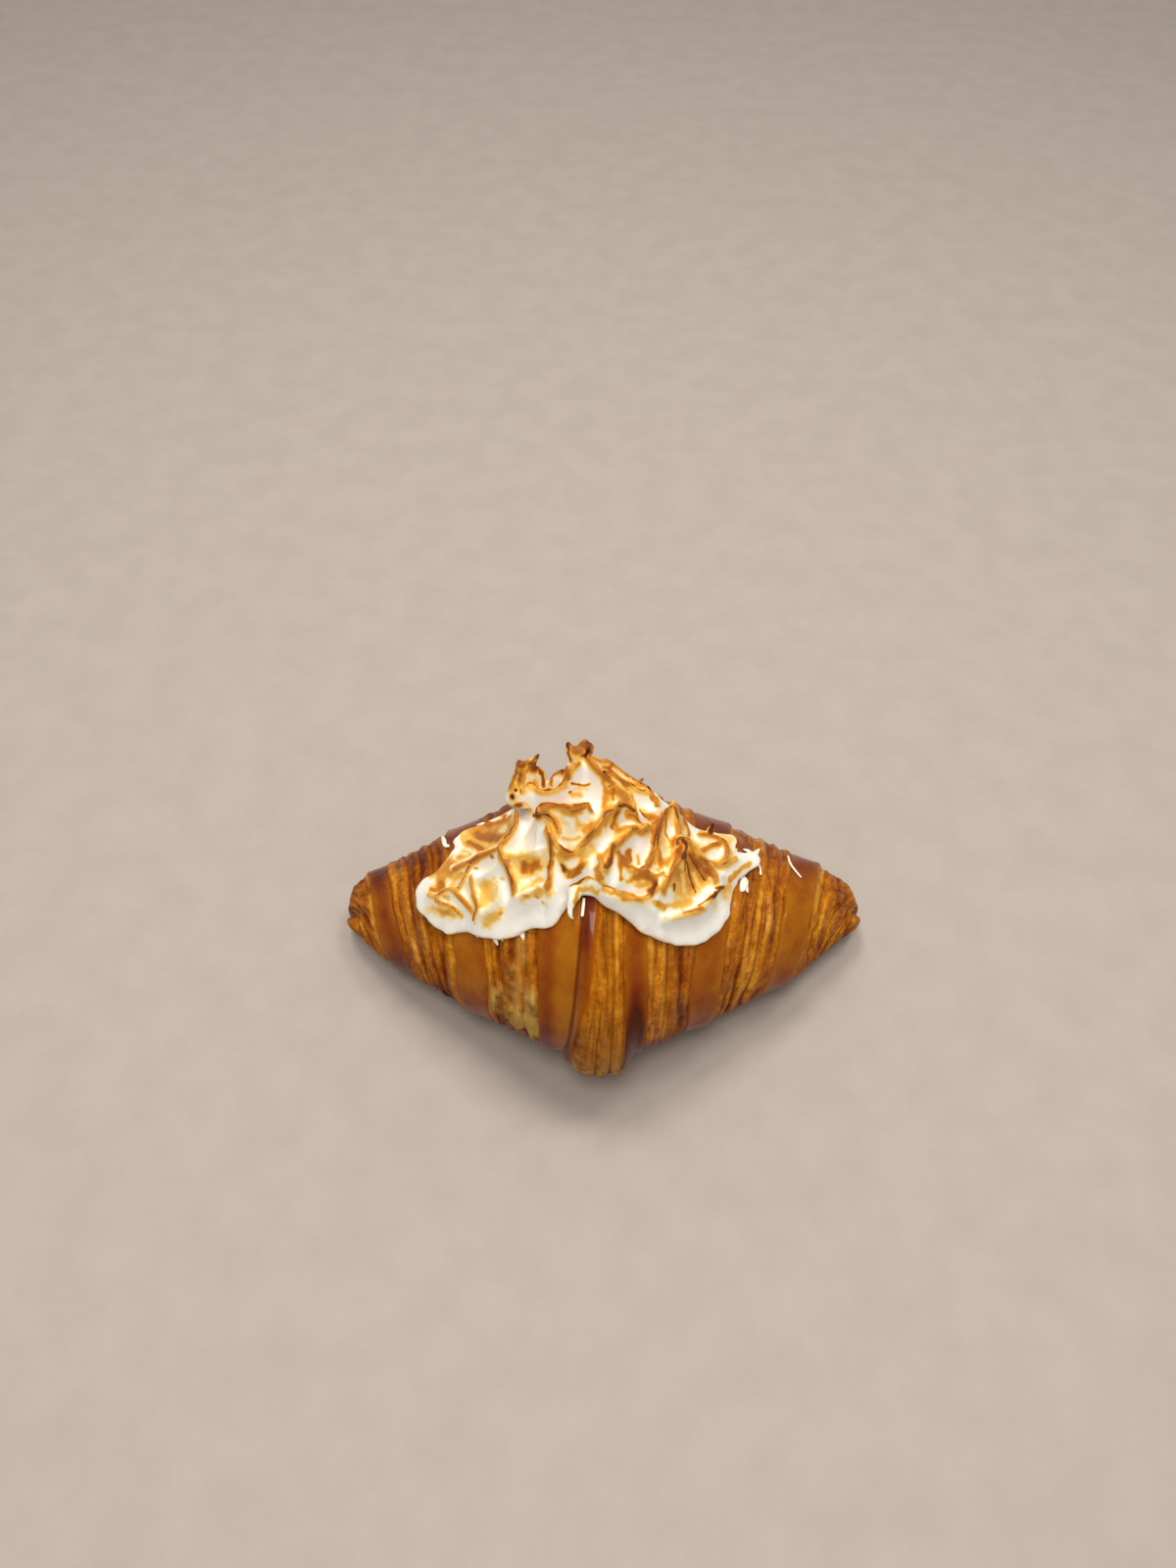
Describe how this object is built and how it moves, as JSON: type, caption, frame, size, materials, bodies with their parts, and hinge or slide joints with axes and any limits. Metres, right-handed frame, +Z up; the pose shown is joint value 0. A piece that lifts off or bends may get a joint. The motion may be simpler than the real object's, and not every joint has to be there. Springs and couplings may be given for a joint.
{
  "type": "meringue croissant",
  "caption": "Large croissant with stepped, flaky turns of dough, topped with torched meringue drawn up into crests and horns.",
  "frame": {"origin": "middle of the croissant's box, on the surface that it lies on", "axes": "+X from the left tip to the right tip, +Y away from the viewer to the side that the tips bend to, +Z up"},
  "size_m": [0.177, 0.0989, 0.104],
  "materials": {
    "crust": "glossy egg-washed crust, red-brown on the smooth panels, gold on the open layers",
    "meringue": "soft white foam, torched gold on its facets and dark brown on its crests"
  },
  "bodies": {
    "root": {"croissant": "crust", "meringue": "meringue"}
  },
  "joints": []
}
